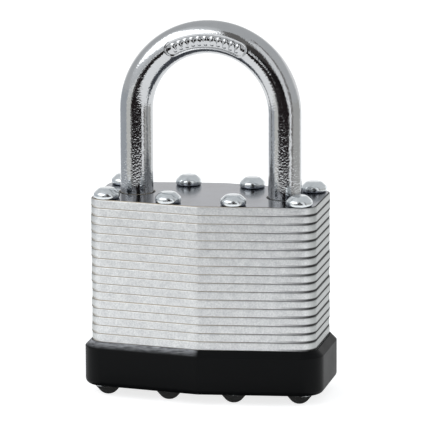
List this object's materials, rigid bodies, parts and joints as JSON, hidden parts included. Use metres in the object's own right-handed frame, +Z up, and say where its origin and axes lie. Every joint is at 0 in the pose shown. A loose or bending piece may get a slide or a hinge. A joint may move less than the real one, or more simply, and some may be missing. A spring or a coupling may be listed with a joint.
{
  "type": "laminated padlock",
  "caption": "Laminated steel padlock with a round shackle, riveted plates, a black plastic bumper cup, and a pin-tumbler cylinder that draws in two locking levers",
  "frame": {"origin": "Centre of the body's plan outline, at the height of the lower rivet heads' flats, which the padlock stands on", "axes": "+Z up along the shackle's travel, X across the width with the heel leg at -X, -Y to the front; the plug's axis is along Z, 1.25 mm behind the origin"},
  "size_m": [0.0428, 0.024, 0.0662],
  "materials": {
    "plate": "zinc plated, matt stamped edges and satin faces",
    "rivet": "bright zinc, smooth",
    "shackle": "polished plated steel",
    "bumper": "satin moulded black plastic",
    "brass": "machined brass",
    "housing": "die-cast zinc, dull grey",
    "lever": "hardened steel, dark grey",
    "spring": "drawn spring steel wire"
  },
  "bodies": {
    "lock_body": {"plate_01": "plate", "plate_02": "plate", "plate_03": "plate", "plate_04": "plate", "plate_05": "plate", "plate_06": "plate", "plate_07": "plate", "plate_08": "plate", "plate_09": "plate", "plate_10": "plate", "plate_11": "plate", "plate_12": "plate", "plate_13": "plate", "plate_14": "plate", "plate_15": "plate", "plate_16": "plate", "plate_17": "plate", "plate_18": "plate", "plate_19": "plate", "plate_20": "plate", "plate_21": "plate", "rivet_front_1": "rivet", "rivet_rear_1": "rivet", "rivet_front_2": "rivet", "rivet_rear_2": "rivet", "rivet_front_3": "rivet", "rivet_rear_3": "rivet", "rivet_front_4": "rivet", "rivet_rear_4": "rivet", "bumper": "bumper", "cylinder_housing": "housing", "pin_chamber_cover": "brass", "shackle_stop_pin": "lever", "shackle_spring": "spring", "lever_spring": "spring", "driver_pin_1": "brass", "driver_pin_2": "brass", "driver_pin_3": "brass", "driver_pin_4": "brass", "pin_spring_1": "spring", "pin_spring_2": "spring", "pin_spring_3": "spring", "pin_spring_4": "spring"},
    "shackle": {"shackle": "shackle"},
    "plug": {"plug": "brass", "plug_clip": "spring"},
    "toe_lever": {"locking_lever_toe": "lever"},
    "heel_lever": {"locking_lever_heel": "lever"},
    "key_pin_1": {"key_pin_1": "brass"},
    "key_pin_2": {"key_pin_2": "brass"},
    "key_pin_3": {"key_pin_3": "brass"},
    "key_pin_4": {"key_pin_4": "brass"}
  },
  "joints": [
    {"name": "shackle_lift", "type": "slide", "parent": "lock_body", "child": "shackle", "axis": [0, 0, 1], "range_m": [0, 0.012], "deforming": ["shackle_spring"]},
    {"name": "plug_turn", "type": "hinge", "parent": "lock_body", "child": "plug", "pos_m": [0, 0.00125, 0], "axis": [0, 0, 1], "range_deg": [-90, 0]},
    {"name": "toe_lever_slide", "type": "slide", "parent": "lock_body", "child": "toe_lever", "axis": [1, 0, 0], "range_m": [0, 0.0012]},
    {"name": "heel_lever_slide", "type": "slide", "parent": "lock_body", "child": "heel_lever", "axis": [-1, 0, 0], "range_m": [0, 0.0012]},
    {"name": "key_pin_1_drop", "type": "slide", "parent": "plug", "child": "key_pin_1", "axis": [-1, 0, 0], "range_m": [0, 0.001]},
    {"name": "key_pin_2_drop", "type": "slide", "parent": "plug", "child": "key_pin_2", "axis": [-1, 0, 0], "range_m": [0, 0.001]},
    {"name": "key_pin_3_drop", "type": "slide", "parent": "plug", "child": "key_pin_3", "axis": [-1, 0, 0], "range_m": [0, 0.001]},
    {"name": "key_pin_4_drop", "type": "slide", "parent": "plug", "child": "key_pin_4", "axis": [-1, 0, 0], "range_m": [0, 0.001]}
  ],
  "couplings": [
    {"joint": "toe_lever_slide", "follows": "plug_turn", "m_per_rad": -0.00076394},
    {"joint": "heel_lever_slide", "follows": "plug_turn", "m_per_rad": -0.00076394}
  ]
}
